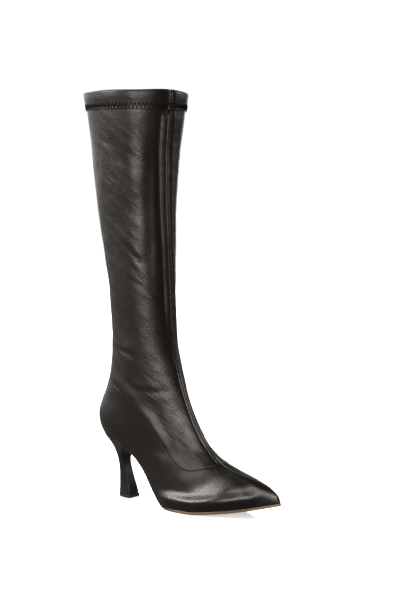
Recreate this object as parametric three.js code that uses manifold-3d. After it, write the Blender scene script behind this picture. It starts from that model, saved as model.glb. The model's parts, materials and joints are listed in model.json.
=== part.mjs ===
// A knee-high pull-on boot for the right foot, with a pointed toe and a flared heel.
// Millimetres. +X runs from the heel to the toe, +Y to the wearer's left, which is the boot's
// inner side, and +Z is up from the floor. The tables are drawn with X = Y = 0 at the middle of
// the heel, and the finished group is moved so that its origin is the bottom centre of its box.
import * as THREE from "three";
import { mergeVertices } from "three/addons/utils/BufferGeometryUtils.js";
import Module from "manifold-3d";

// Driving dimensions.
const BOOT_HEIGHT = 475; // floor to the middle of the collar's opening
const COLLAR_FORWARD = 3.15; // degrees that the collar's edge slopes down to the front
const COLLAR_OUTWARD = 3.4; // and to the outer side
const FOOT_LENGTH = 246; // back of the heel to the tip of the toe
const BALL_WIDTH = 73; // across the widest part of the sole
const HEEL_HEIGHT = 78; // floor to the back edge of the seat
const SHAFT_WALL = 1.6; // stretch cover and lining of the leg
const FOOT_WALL = 2.2; // cover, stiffener and lining of the foot
const BAND_HEIGHT = 21.5; // collar band, folded over the shaft's edge
const BAND_WALL = 1.0;
const INSOLE_THICK = 2.2;
const LIFT_THICK = 3.4; // top piece that the heel walks on
const GAP = 0.3; // between pieces that meet
const SOLE_PROUD = 0.5; // how far the outsole's edge stands out of the upper

// Mesh fineness.
const STATIONS = 43; // sections from the collar to the toe
const AROUND = 36; // points round a section
const HEEL_AROUND = 26;
const PROFILE_STEPS = 44; // steps along the sole's side view

// The size that the tables are drawn at, and the factors that carry them to the sizes above.
const DRAWN = { height: 475, length: 246, width: 73, heel: 78 };
const SCALE = {
  x: FOOT_LENGTH / DRAWN.length,
  y: BALL_WIDTH / DRAWN.width,
  foot: HEEL_HEIGHT / DRAWN.heel,
};
const ANKLE_Z = 178; // sections above this one follow the boot's height, and those below it the heel's

// Turns a table's row of numbers into one with named columns.
function named(...columns) {
  return (row) => Object.fromEntries(columns.map((name, i) => [name, row[i]]));
}

// Sections of the boot's outside, from above the collar down the leg, round the heel and along the
// foot to the toe. Each lies in a plane square to the XZ plane, from a point on the front line to a
// point on the back or bottom line. Under the foot that line runs below the sole, and the part of
// the form under the feather line is cut away.
// outer, inner: half widths; widest: where along the section the widest place is, 0 front, 1 back;
// frontPower, backPower: 2 is round, less is a ridge, more is boxy; outerTuck, innerTuck: the share
// by which the half width is drawn in at the back or bottom; shift: middle line towards +Y.
const SECTIONS = [
  [76.4, 500, -54.2, 500, 54.4, 54.4, 0.5, 2.1, 2.1, 0, 0, 0],
  [74.2, 474, -50.4, 474, 53, 53, 0.5, 2.1, 2.1, 0, 0, 0],
  [70.6, 443, -45.4, 443, 50.4, 50.4, 0.5, 2.1, 2.1, 0, 0, 0],
  [65.6, 410, -41.4, 410, 47.2, 47.2, 0.5, 2.1, 2.1, 0, 0, 0],
  [62.4, 370, -37.8, 370, 44, 44, 0.5, 2.1, 2.1, 0, 0, 0],
  [61.8, 330, -32.2, 330, 41, 41, 0.5, 2, 2.1, 0, 0, 0],
  [62, 290, -25.5, 290, 38, 38, 0.5, 2, 2.1, 0, 0, 0],
  [62.6, 250, -19.4, 250, 35.5, 35.5, 0.5, 1.9, 2.1, 0, 0, 0],
  [64.8, 215, -16.4, 213, 33.5, 33.5, 0.5, 1.85, 2.1, 0, 0, 0],
  [67.6, 188, -16.2, 184, 32.5, 32.5, 0.5, 1.8, 2.1, 0, 0, 0],
  [74.2, 163, -18.6, 158, 32, 32, 0.52, 1.75, 2.1, 0, 0, 0],
  [81, 141, -24.2, 136, 31.5, 31.5, 0.54, 1.7, 2.15, 0, 0, 0],
  [88.6, 120, -33.4, 116, 31, 31, 0.56, 1.65, 2.2, 0, 0, 0],
  [98.4, 100, -38.6, 100, 30.5, 30.5, 0.58, 1.65, 2.25, 0, 0, 0],
  [107.4, 85, -36.7, 87, 30, 30, 0.6, 1.65, 2.3, 0, 0, 0],
  [115.4, 74, -30.2, 76, 29, 29, 0.62, 1.65, 2.4, 0.05, 0.05, 0],
  [122.4, 67, -22, 67, 28.4, 28, 0.62, 1.65, 2.6, 0.05, 0.12, 0.3],
  [128.8, 61.8, -8, 62, 28.2, 27, 0.62, 1.65, 2.8, 0.07, 0.18, 0.6],
  [134.8, 58, 11, 52, 28.6, 27.4, 0.62, 1.65, 2.8, 0.07, 0.26, 0.9],
  [140.6, 55.4, 29, 36, 30, 29, 0.64, 1.68, 2.8, 0.06, 0.32, 1.2],
  [146.6, 53, 45, 14, 32.6, 31.8, 0.64, 1.7, 2.8, 0.06, 0.38, 1.4],
  [153.6, 50.4, 62, -3, 35.2, 34.8, 0.68, 1.72, 2.8, 0.03, 0.36, 1.6],
  [161.6, 47.4, 83, -8, 36.6, 36.4, 0.71, 1.76, 2.8, 0, 0.22, 1.8],
  [170.2, 44.4, 107, -8, 35.2, 35.4, 0.71, 1.8, 3, 0, 0.06, 2.2],
  [179.2, 41, 132, -7, 28, 29.2, 0.7, 1.85, 3.2, 0, 0, 2.8],
  [187.2, 37.4, 156, -3, 18.4, 19.8, 0.68, 1.9, 3.4, 0, 0, 3.6],
  [194.2, 33.6, 177, 2, 11, 12.2, 0.66, 2, 3.4, 0, 0, 4],
  [200.2, 29.8, 191.6, 6, 6.4, 7, 0.62, 2, 3.2, 0, 0, 4.2],
  [204.8, 25.8, 200.6, 9, 3.7, 3.8, 0.6, 2, 3, 0, 0, 4.2],
  [206.9, 21.4, 205.4, 11.4, 1.8, 1.8, 0.55, 2, 2.4, 0, 0, 4.2],
].map(named(
  "frontX", "frontZ", "backX", "backZ", "outer", "inner", "widest", "frontPower", "backPower",
  "outerTuck", "innerTuck", "shift",
));

// Side view of the sole from the back of the seat to the toe: underside and thickness.
const SOLE_PROFILE = [
  { x: -60, under: 81, thick: 2 },
  { x: -30, under: 75.6, thick: 2 },
  { x: -10, under: 71.2, thick: 2 },
  { x: 6, under: 67.6, thick: 2 },
  { x: 15, under: 61.8, thick: 2 },
  { x: 24, under: 54.9, thick: 2 },
  { x: 32, under: 47.8, thick: 2 },
  { x: 40, under: 38.8, thick: 2 },
  { x: 48, under: 26.6, thick: 2 },
  { x: 55, under: 16.4, thick: 2.1 },
  { x: 62, under: 8, thick: 2.3 },
  { x: 68.5, under: 2.2, thick: 2.6 },
  { x: 76, under: 0, thick: 3 },
  { x: 94, under: 0, thick: 3 },
  { x: 112, under: 0, thick: 3 },
  { x: 126, under: 1.4, thick: 3 },
  { x: 142, under: 3.2, thick: 3 },
  { x: 158, under: 5.2, thick: 3 },
  { x: 174, under: 8, thick: 2.9 },
  { x: 190, under: 11.6, thick: 2.8 },
  { x: 208, under: 16, thick: 2.6 },
  { x: 230, under: 22, thick: 2.6 },
];
const FLAT_FROM = 76; // the forefoot rests on the floor between these
const FLAT_TO = 112;
const COLLAR_MIDDLE = 11.6; // where the collar's slope turns about
const BREAST_X = 8.6; // front edge of the heel's seat, where the outsole starts

// Side view of the seam between the foot and the leg, from behind the heel to above the vamp.
const SEAM = [
  { x: -60, z: 155.5 },
  { x: -24, z: 146.5 },
  { x: -5, z: 139.6 },
  { x: 12, z: 129.8 },
  { x: 28, z: 115.4 },
  { x: 42, z: 100.6 },
  { x: 54, z: 87.2 },
  { x: 66, z: 73.2 },
  { x: 76, z: 63.2 },
  { x: 86, z: 54.8 },
  { x: 97, z: 48 },
  { x: 108, z: 46.6 },
  { x: 121, z: 49.6 },
  { x: 137, z: 54.8 },
  { x: 156, z: 64 },
];

// Sections of the heel, from the floor to above the seat: flat in front, round behind. z is the
// section's height at X = 0, and slope its rise towards the back.
const HEEL_SECTIONS = [
  { z: 0, slope: 0, back: -13.4, front: 8.6, half: 9.4 },
  { z: 6, slope: 0, back: -13.2, front: 7.6, half: 8.5 },
  { z: 14, slope: 0, back: -13.1, front: 5.9, half: 7.4 },
  { z: 27, slope: 0, back: -13.2, front: 2, half: 6.4 },
  { z: 39, slope: 0, back: -14.1, front: -1.8, half: 6.7 },
  { z: 47, slope: 0.02, back: -15.6, front: -3, half: 8.4 },
  { z: 53, slope: 0.06, back: -17.6, front: -1.2, half: 11.6 },
  { z: 58, slope: 0.11, back: -20.3, front: 2.8, half: 15.6 },
  { z: 62.4, slope: 0.16, back: -23.8, front: 5.8, half: 19.6 },
  { z: 66, slope: 0.2, back: -27.6, front: 7.9, half: 23.2 },
  { z: 69.4, slope: 0.22, back: -31, front: 8.6, half: 25.9 },
  { z: 73, slope: 0.24, back: -33.6, front: 8.6, half: 27.6 },
];
const HEEL_POWER = 2.05; // how square the heel's sides are

const wasm = await Module();
wasm.setup();

// A column of a table as a smooth curve through its rows, at t from 0 to 1 along the rows.
function column(rows, name, t) {
  const place = Math.min(Math.max(t, 0), 1) * (rows.length - 1);
  const i = Math.min(Math.floor(place), rows.length - 2);
  const s = place - i;
  const [a, b, c, d] = [i - 1, i, i + 1, i + 2].map(
    (k) => rows[Math.min(Math.max(k, 0), rows.length - 1)][name],
  );
  return 0.5 * (2 * b + (c - a) * s + (2 * a - 5 * b + 4 * c - d) * s * s + (3 * b - a - 3 * c + d) * s ** 3);
}

// A table's side view as points, smooth through its rows.
function sideView(rows, across, up, steps) {
  return Array.from({ length: steps + 1 }, (_, i) => [
    column(rows, across, i / steps),
    column(rows, up, i / steps),
  ]);
}

const power = (value, exponent) => Math.sign(value) * Math.abs(value) ** exponent;
const stretchLeg = (z) =>
  z > ANKLE_Z
    ? ANKLE_Z * SCALE.foot + ((z - ANKLE_Z) * (BOOT_HEIGHT - ANKLE_Z * SCALE.foot)) / (DRAWN.height - ANKLE_Z)
    : z * SCALE.foot;

// The boot's outside at t from 0, above the collar, to 1, the toe, and at a turn round the section:
// 0 at the front, a quarter at the outer side, a half at the back or bottom.
function lastPoint(t, turn) {
  const row = (name) => column(SECTIONS, name, t);
  const cos = Math.cos(turn * 2 * Math.PI);
  const sin = Math.sin(turn * 2 * Math.PI);
  const front = cos > 0;
  const roundness = 2 / row(front ? "frontPower" : "backPower");
  const widest = row("widest");
  const reach = power(Math.abs(cos), roundness);
  const along = front ? widest - widest * reach : widest + (1 - widest) * reach;
  const tuck = front ? 0 : THREE.MathUtils.smoothstep(reach, 0, 1);
  const half =
    sin > 0
      ? row("outer") * (1 - row("outerTuck") * tuck)
      : row("inner") * (1 - row("innerTuck") * tuck);
  return new THREE.Vector3(
    THREE.MathUtils.lerp(row("frontX"), row("backX"), along) * SCALE.x,
    (row("shift") - half * power(sin, roundness)) * SCALE.y,
    stretchLeg(THREE.MathUtils.lerp(row("frontZ"), row("backZ"), along)),
  );
}

// The outward direction there, from the surface's two tangents.
function lastNormal(t, turn) {
  const dt = 0.004;
  const dTurn = 0.012;
  const down = lastPoint(Math.min(t + dt, 1), turn).sub(lastPoint(Math.max(t - dt, 0), turn));
  const round = lastPoint(t, turn + dTurn).sub(lastPoint(t, turn - dTurn));
  return round.cross(down).normalize();
}

// A closed mesh from rings of points, each ring the same number of points, with a fan at each end.
function lofted(rings) {
  const count = rings[0].length;
  const points = rings.flat();
  const faces = [];
  for (let i = 0; i + 1 < rings.length; i++)
    for (let j = 0; j < count; j++) {
      const a = i * count + j;
      const b = i * count + ((j + 1) % count);
      faces.push([a, a + count, b], [b, a + count, b + count]);
    }
  for (const [start, order] of [[0, 1], [(rings.length - 1) * count, -1]]) {
    const middle = new THREE.Vector3();
    for (let j = 0; j < count; j++) middle.addScaledVector(points[start + j], 1 / count);
    points.push(middle);
    for (let j = 0; j < count; j++) {
      const edge = [start + j, start + ((j + 1) % count)];
      faces.push(order > 0 ? [points.length - 1, ...edge] : [points.length - 1, edge[1], edge[0]]);
    }
  }
  return solid(points.flatMap((p) => p.toArray()), faces.flat());
}

function solid(positions, indices) {
  const made = new wasm.Manifold(
    new wasm.Mesh({
      numProp: 3,
      vertProperties: new Float32Array(positions),
      triVerts: new Uint32Array(indices),
    }),
  );
  if (made.volume() > 0) return made;
  const turned = [];
  for (let i = 0; i < indices.length; i += 3) turned.push(indices[i], indices[i + 2], indices[i + 1]);
  return new wasm.Manifold(
    new wasm.Mesh({
      numProp: 3,
      vertProperties: new Float32Array(positions),
      triVerts: new Uint32Array(turned),
    }),
  );
}

// The form of the last, grown by an offset, or shrunk by a negative one. A shrunk form stops short
// of the toe's tip, where it would have no room.
function form(offset) {
  const tipShare = offset < 0 ? 0.967 : 1;
  const rings = Array.from({ length: STATIONS }, (_, i) => {
    const t = (tipShare * i) / (STATIONS - 1);
    return Array.from({ length: AROUND }, (_, j) => {
      const turn = j / AROUND;
      return lastPoint(t, turn).addScaledVector(lastNormal(t, turn), offset);
    });
  });
  return lofted(rings);
}

// A geometry with nothing but its positions, so that its corners can be joined.
function bare(geometry) {
  return geometry.deleteAttribute("normal").deleteAttribute("uv");
}

// A plate cut from a side view: an outline in X and Z, as thick as the boot is wide.
function sideCut(outline) {
  const shape = new THREE.Shape(outline.map(([x, z]) => new THREE.Vector2(x, z)));
  const wide = 3 * BALL_WIDTH;
  const plate = new THREE.ExtrudeGeometry(shape, { depth: wide, bevelEnabled: false, steps: 1 });
  const merged = mergeVertices(bare(plate).rotateX(Math.PI / 2).translate(0, wide / 2, 0));
  return solid([...merged.attributes.position.array], [...merged.index.array]);
}

const soleRows = SOLE_PROFILE.map((row) => ({
  x: row.x * SCALE.x,
  under: row.under * SCALE.foot,
  top: (row.under + row.thick) * SCALE.foot,
}));

// The sole's side view, with the stretch that rests on the floor exactly flat.
function soleLine(name, lift) {
  return sideView(soleRows, "x", name, PROFILE_STEPS).map(([x, z]) => {
    const onFloor = x >= FLAT_FROM * SCALE.x && x <= FLAT_TO * SCALE.x;
    const level = onFloor ? soleRows.find((row) => row.x === FLAT_FROM * SCALE.x)[name] : z;
    return [x, Math.max(level, soleRows.find((row) => row.under === 0)[name]) + lift];
  });
}

const seamLine = (lift) =>
  sideView(SEAM, "x", "z", 2 * SEAM.length).map(([x, z]) => [x * SCALE.x, z * SCALE.foot + lift]);
const closedAt = (line, level) => [...line, [line.at(-1)[0], level], [line[0][0], level]];
const FAR_BELOW = -60;
const FAR_ABOVE = BOOT_HEIGHT + 60;

// Everything above the collar's sloping edge, lowered by a depth.
function aboveCollar(depth) {
  const side = 3 * BOOT_HEIGHT;
  const block = mergeVertices(bare(new THREE.BoxGeometry(side, side, side)));
  block
    .translate(0, 0, side / 2 - depth)
    .rotateY(THREE.MathUtils.degToRad(COLLAR_FORWARD))
    .rotateX(THREE.MathUtils.degToRad(COLLAR_OUTWARD))
    .translate(COLLAR_MIDDLE * SCALE.x, 0, BOOT_HEIGHT);
  return solid([...block.attributes.position.array], [...block.index.array]);
}

const levelCut = (from, to) => sideCut([[-150, from], [300, from], [300, to], [-150, to]]);

const aboveFeather = sideCut(closedAt(soleLine("top", GAP), FAR_ABOVE));
const aboveSeam = (lift) => sideCut([...closedAt(seamLine(lift), FAR_ABOVE)]);
const outside = form(0);

// Foot: vamp and counter, a hollow shell that is open underneath and at the seam.
function makeUpper() {
  return outside
    .subtract(form(-FOOT_WALL))
    .intersect(aboveFeather)
    .subtract(aboveSeam(-GAP / 2));
}

// Leg: a hollow tube from the seam to just under the fold of the collar band.
function makeShaft() {
  return outside
    .subtract(form(-SHAFT_WALL))
    .intersect(aboveSeam(GAP / 2))
    .subtract(aboveCollar(BAND_WALL + GAP));
}

// Collar band: a strip folded over the shaft's edge, outside, across the top and inside.
function makeTopband() {
  const strip = form(GAP + BAND_WALL)
    .subtract(form(-SHAFT_WALL - GAP - BAND_WALL))
    .intersect(aboveCollar(BAND_HEIGHT))
    .subtract(aboveCollar(0));
  const slot = form(GAP)
    .subtract(form(-SHAFT_WALL - GAP))
    .subtract(aboveCollar(BAND_WALL));
  return strip.subtract(slot);
}

// Insole board, on the sole and the heel's seat, inside the upper.
function makeInsole() {
  const underneath = soleLine("top", GAP);
  const topside = soleLine("top", GAP + INSOLE_THICK);
  return form(-FOOT_WALL - GAP).intersect(sideCut([...underneath, ...topside.reverse()]));
}

// Outsole: thin under the arch, thicker under the forefoot, from the heel's breast to the toe.
function makeOutsole() {
  const ahead = sideCut([
    [BREAST_X * SCALE.x + GAP, FAR_BELOW],
    [300, FAR_BELOW],
    [300, FAR_ABOVE],
    [BREAST_X * SCALE.x + GAP, FAR_ABOVE],
  ]);
  return form(SOLE_PROUD)
    .intersect(sideCut([...soleLine("under", 0), ...soleLine("top", 0).reverse()]))
    .intersect(ahead);
}

// One section of the heel: a flat breast, and sides that run round behind in a curve.
function heelRing(row, lift = 0) {
  return Array.from({ length: HEEL_AROUND }, (_, j) => {
    const angle = (Math.PI * j) / (HEEL_AROUND - 1);
    const x = THREE.MathUtils.lerp(row.front, row.back, power(Math.sin(angle), 2 / HEEL_POWER));
    const y = -row.half * power(Math.cos(angle), 2 / HEEL_POWER);
    return new THREE.Vector3(x * SCALE.x, y * SCALE.y, (row.z - row.slope * x) * SCALE.foot + lift);
  });
}

// Heel block: from its top piece to the seat, where it ends at the feather line, flush with the upper.
function makeHeel() {
  const steps = 2 * HEEL_SECTIONS.length;
  const columns = Object.keys(HEEL_SECTIONS[0]);
  const rings = Array.from({ length: steps + 1 }, (_, i) =>
    heelRing(
      Object.fromEntries(columns.map((name) => [name, column(HEEL_SECTIONS, name, i / steps)])),
    ),
  );
  return lofted(rings)
    .subtract(levelCut(FAR_BELOW, LIFT_THICK + GAP))
    .intersect(sideCut(closedAt(soleLine("top", 0), FAR_BELOW)));
}

// Top piece under the heel.
function makeTopLift() {
  const tip = HEEL_SECTIONS[0];
  return lofted([heelRing(tip), heelRing(tip, LIFT_THICK)]);
}

const LEATHER = { color: 0x262220, roughness: 0.42, metalness: 0 };
const PIECES = [
  { name: "upper", make: makeUpper, finish: LEATHER },
  { name: "shaft", make: makeShaft, finish: LEATHER },
  { name: "topband", make: makeTopband, finish: LEATHER },
  { name: "insole", make: makeInsole, finish: { color: 0x2b2622, roughness: 0.7, metalness: 0 } },
  { name: "outsole", make: makeOutsole, finish: { color: 0x8d7558, roughness: 0.6, metalness: 0 } },
  { name: "heel", make: makeHeel, finish: LEATHER },
  { name: "top_lift", make: makeTopLift, finish: { color: 0x121110, roughness: 0.6, metalness: 0 } },
];

function meshOf({ name, make, finish }) {
  const { vertProperties, triVerts } = make().getMesh();
  const geometry = new THREE.BufferGeometry()
    .setAttribute("position", new THREE.BufferAttribute(vertProperties, 3))
    .setIndex(new THREE.BufferAttribute(triVerts, 1));
  geometry.computeVertexNormals();
  const mesh = new THREE.Mesh(geometry, new THREE.MeshStandardMaterial(finish));
  mesh.name = name;
  return mesh;
}

const boot = new THREE.Group();
boot.add(...PIECES.map(meshOf));
const box = new THREE.Box3().setFromObject(boot);
const middle = box.getCenter(new THREE.Vector3());
boot.position.set(-middle.x, -middle.y, -box.min.z);

export default boot;
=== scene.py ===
import json
import math

import bmesh
import bpy
import numpy as np
from mathutils import Matrix, Vector, noise

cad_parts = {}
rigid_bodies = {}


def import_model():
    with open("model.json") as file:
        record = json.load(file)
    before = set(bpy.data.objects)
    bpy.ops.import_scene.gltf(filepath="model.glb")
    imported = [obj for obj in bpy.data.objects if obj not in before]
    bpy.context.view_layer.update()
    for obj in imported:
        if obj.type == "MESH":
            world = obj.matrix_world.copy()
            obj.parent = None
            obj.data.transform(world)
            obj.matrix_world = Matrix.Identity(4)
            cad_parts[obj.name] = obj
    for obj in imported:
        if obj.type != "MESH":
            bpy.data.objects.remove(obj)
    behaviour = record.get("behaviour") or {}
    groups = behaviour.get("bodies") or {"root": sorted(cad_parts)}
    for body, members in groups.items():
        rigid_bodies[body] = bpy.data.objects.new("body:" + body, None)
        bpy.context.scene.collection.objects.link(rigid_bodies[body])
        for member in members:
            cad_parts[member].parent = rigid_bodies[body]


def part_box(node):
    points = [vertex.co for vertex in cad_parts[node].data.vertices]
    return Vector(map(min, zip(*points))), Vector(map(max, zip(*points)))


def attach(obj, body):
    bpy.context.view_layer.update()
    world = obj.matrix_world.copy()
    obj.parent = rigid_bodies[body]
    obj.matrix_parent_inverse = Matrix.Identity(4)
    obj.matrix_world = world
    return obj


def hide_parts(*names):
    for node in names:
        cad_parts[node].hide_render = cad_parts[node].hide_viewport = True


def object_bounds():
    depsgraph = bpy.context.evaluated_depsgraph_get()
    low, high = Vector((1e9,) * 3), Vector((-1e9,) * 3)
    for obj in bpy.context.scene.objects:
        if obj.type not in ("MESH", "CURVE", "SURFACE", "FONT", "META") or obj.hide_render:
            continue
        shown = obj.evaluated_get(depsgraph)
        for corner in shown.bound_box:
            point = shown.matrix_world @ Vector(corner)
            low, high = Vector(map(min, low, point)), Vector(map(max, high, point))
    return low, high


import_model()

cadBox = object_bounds()
print("frame loaded: knee-high boot, right foot")

# Everything is drawn in millimetres about the middle of the heel, as the boot's last is, with
# +X to the toe, +Y to the inner side and +Z up, and is placed by the frame's own boxes.
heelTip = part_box("top_lift")
toeReach = 220.8  # from the back of the top piece to the tip of the outsole
heelBack = 13.4  # from the back of the top piece to the middle of the heel
mm = (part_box("outsole")[1].x - heelTip[0].x) / toeReach
origin = np.array((heelTip[0].x + heelBack * mm, (heelTip[0].y + heelTip[1].y) / 2, heelTip[0].z))

# Sections of the last from above the collar to the toe: front and back points in the side view,
# outer and inner half widths, where it is widest, how square it is in front and behind, how far
# it draws in under the foot on each side, the middle line, and where the front seam runs.
sectionColumns = (
    "frontX", "frontZ", "backX", "backZ", "outer", "inner", "widest",
    "frontPower", "backPower", "outerTuck", "innerTuck", "shift", "seamY",
)
sections = np.array([
    (76.4, 500, -54.2, 500, 54.4, 54.4, 0.5, 2.1, 2.1, 0, 0, 0, -13.4),
    (74.2, 474, -50.4, 474, 53, 53, 0.5, 2.1, 2.1, 0, 0, 0, -13.2),
    (70.6, 443, -45.4, 443, 50.4, 50.4, 0.5, 2.1, 2.1, 0, 0, 0, -13),
    (65.6, 410, -41.4, 410, 47.2, 47.2, 0.5, 2.1, 2.1, 0, 0, 0, -11),
    (62.4, 370, -37.8, 370, 44, 44, 0.5, 2.1, 2.1, 0, 0, 0, -8),
    (61.8, 330, -32.2, 330, 41, 41, 0.5, 2, 2.1, 0, 0, 0, -6),
    (62, 290, -25.5, 290, 38, 38, 0.5, 2, 2.1, 0, 0, 0, -3.4),
    (62.6, 250, -19.4, 250, 35.5, 35.5, 0.5, 1.9, 2.1, 0, 0, 0, -1.7),
    (64.8, 215, -16.4, 213, 33.5, 33.5, 0.5, 1.85, 2.1, 0, 0, 0, -1),
    (67.6, 188, -16.2, 184, 32.5, 32.5, 0.5, 1.8, 2.1, 0, 0, 0, -0.4),
    (74.2, 163, -18.6, 158, 32, 32, 0.52, 1.75, 2.1, 0, 0, 0, -1.8),
    (81, 141, -24.2, 136, 31.5, 31.5, 0.54, 1.7, 2.15, 0, 0, 0, -2.6),
    (88.6, 120, -33.4, 116, 31, 31, 0.56, 1.65, 2.2, 0, 0, 0, -2),
    (98.4, 100, -38.6, 100, 30.5, 30.5, 0.58, 1.65, 2.25, 0, 0, 0, -2.5),
    (107.4, 85, -36.7, 87, 30, 30, 0.6, 1.65, 2.3, 0, 0, 0, -2.6),
    (115.4, 74, -30.2, 76, 29, 29, 0.62, 1.65, 2.4, 0.05, 0.05, 0, -2.4),
    (122.4, 67, -22, 67, 28.4, 28, 0.62, 1.65, 2.6, 0.05, 0.12, 0.3, -2.8),
    (128.8, 61.8, -8, 62, 28.2, 27, 0.62, 1.65, 2.8, 0.07, 0.18, 0.6, -3.6),
    (134.8, 58, 11, 52, 28.6, 27.4, 0.62, 1.65, 2.8, 0.07, 0.26, 0.9, -4.4),
    (140.6, 55.4, 29, 36, 30, 29, 0.64, 1.68, 2.8, 0.06, 0.32, 1.2, -5.3),
    (146.6, 53, 45, 14, 32.6, 31.8, 0.64, 1.7, 2.8, 0.06, 0.38, 1.4, -5.8),
    (153.6, 50.4, 62, -3, 35.2, 34.8, 0.68, 1.72, 2.8, 0.03, 0.36, 1.6, -5.4),
    (161.6, 47.4, 83, -8, 36.6, 36.4, 0.71, 1.76, 2.8, 0, 0.22, 1.8, -4.6),
    (170.2, 44.4, 107, -8, 35.2, 35.4, 0.71, 1.8, 3, 0, 0.06, 2.2, -3.1),
    (179.2, 41, 132, -7, 28, 29.2, 0.7, 1.85, 3.2, 0, 0, 2.8, -1.1),
    (187.2, 37.4, 156, -3, 18.4, 19.8, 0.68, 1.9, 3.4, 0, 0, 3.6, 1),
    (194.2, 33.6, 177, 2, 11, 12.2, 0.66, 2, 3.4, 0, 0, 4, 2.5),
    (200.2, 29.8, 191.6, 6, 6.4, 7, 0.62, 2, 3.2, 0, 0, 4.2, 3.4),
    (204.8, 25.8, 200.6, 9, 3.7, 3.8, 0.6, 2, 3, 0, 0, 4.2, 3.9),
    (206.9, 21.4, 205.4, 11.4, 1.8, 1.8, 0.55, 2, 2.4, 0, 0, 4.2, 4.2),
])
legRow = 13  # the last section of the leg
toeRow = len(sections) - 1
noseLength = 1.1  # how far the toe's rounding runs on past the last section

# Side view of the sole, as x, underside and thickness, and of the seam over the foot.
soleProfile = np.array([
    (-60, 81, 2), (-30, 75.6, 2), (-10, 71.2, 2), (6, 67.6, 2), (15, 61.8, 2), (24, 54.9, 2),
    (32, 47.8, 2), (40, 38.8, 2), (48, 26.6, 2), (55, 16.4, 2.1), (62, 8, 2.3), (68.5, 2.2, 2.6),
    (76, 0, 3), (94, 0, 3), (112, 0, 3), (126, 1.4, 3), (142, 3.2, 3), (158, 5.2, 3),
    (174, 8, 2.9), (190, 11.6, 2.8), (208, 16, 2.6), (230, 22, 2.6),
])
seamProfile = np.array([
    (-60, 155.5), (-24, 146.5), (-5, 139.6), (12, 129.8), (28, 115.4), (42, 100.6), (54, 87.2),
    (66, 73.2), (76, 63.2), (86, 54.8), (97, 48), (108, 46.6), (121, 49.6), (137, 54.8), (156, 64),
])
collar = {"middle": (11.6, 0, 475), "forward": 3.15, "outward": 3.4}
gap = 0.3  # between pieces that meet


def smoothStep(value, low, high):
    share = np.clip((value - low) / (high - low), 0, 1)
    return share * share * (3 - 2 * share)


def between(low, high, share):
    return low + (high - low) * share


# A smooth curve through a table's rows, at a place counted in rows.
def throughRows(table, place):
    place = np.clip(place, 0, len(table) - 1)
    first = np.minimum(place.astype(int), len(table) - 2)
    s = (place - first)[..., None]
    a, b, c, d = (table[np.clip(first + k, 0, len(table) - 1)] for k in (-1, 0, 1, 2))
    return 0.5 * (2 * b + (c - a) * s + (2 * a - 5 * b + 4 * c - d) * s**2
                  + (3 * b - a - 3 * c + d) * s**3)


def fineCurve(table, steps):
    return throughRows(table, np.linspace(0, len(table) - 1, steps))


soleCurve = fineCurve(soleProfile, steps=400)
seamCurve = fineCurve(seamProfile, steps=300)


# Height of the sole's side view at x: level 0 is its underside and 1 its top.
def soleHeight(x, level):
    under = np.maximum(np.interp(x, soleCurve[:, 0], soleCurve[:, 1]), 0)
    return under + level * np.interp(x, soleCurve[:, 0], soleCurve[:, 2])


def featherHeight(x):
    return soleHeight(x, 1) + gap


def seamHeight(x):
    return np.interp(x, seamCurve[:, 0], seamCurve[:, 1])


collarUp = np.array((
    math.sin(math.radians(collar["forward"])),
    -math.sin(math.radians(collar["outward"])) * math.cos(math.radians(collar["forward"])),
    math.cos(math.radians(collar["outward"])) * math.cos(math.radians(collar["forward"])),
))


def belowCollar(points):
    return -(points - np.array(collar["middle"])) @ collarUp


def sectionAt(t):
    return dict(zip(sectionColumns, np.moveaxis(throughRows(sections, t), -1, 0)))


# The last's surface, at a place t along its sections and a turn round them: 0 in front, a quarter
# at the outer side, a half behind or underneath, and negative round the inner side.
def lastPoint(t, turn):
    t, turn = np.broadcast_arrays(np.asarray(t, float), np.asarray(turn, float))
    row = sectionAt(t)
    cosine, sine = np.cos(turn * 2 * np.pi), np.sin(turn * 2 * np.pi)
    inFront = cosine > 0
    roundness = 2 / np.where(inFront, row["frontPower"], row["backPower"])
    reach = np.abs(cosine) ** roundness
    widest = row["widest"]
    across = np.where(inFront, widest - widest * reach, widest + (1 - widest) * reach)
    tuck = np.where(inFront, 0, smoothStep(reach, 0, 1))
    half = np.where(sine > 0, row["outer"] * (1 - row["outerTuck"] * tuck),
                    row["inner"] * (1 - row["innerTuck"] * tuck))
    nose = np.clip(t - toeRow, 0, 1)
    shrink = np.sqrt(np.maximum(1 - nose**2, 0))
    middleX = (row["frontX"] + row["backX"]) / 2
    middleZ = (row["frontZ"] + row["backZ"]) / 2
    x = between(row["frontX"], row["backX"], across)
    z = between(row["frontZ"], row["backZ"], across)
    y = -half * np.sign(sine) * np.abs(sine) ** roundness
    return np.stack((
        middleX + (x - middleX) * shrink + noseLength * nose,
        row["shift"] + y * shrink,
        middleZ + (z - middleZ) * shrink,
    ), axis=-1)


def unit(vectors):
    return vectors / np.maximum(np.linalg.norm(vectors, axis=-1, keepdims=True), 1e-9)


# Distances along a line of places from its start, and a line's values at wanted distances.
def lengthsAlong(line):
    return np.concatenate(((0,), np.cumsum(np.linalg.norm(np.diff(line, axis=0), axis=1))))


def valuesAlong(wanted, passed, line):
    return np.array([np.interp(wanted, passed, column) for column in line.T]).T


def lastNormal(t, turn):
    step, stepTurn, farthest = 0.06, 0.006, toeRow + 0.98
    down = lastPoint(np.minimum(t + step, farthest), turn) - lastPoint(t - step, turn)
    around = lastPoint(t, turn + stepTurn) - lastPoint(t, turn - stepTurn)
    return unit(np.cross(around, down))


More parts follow.
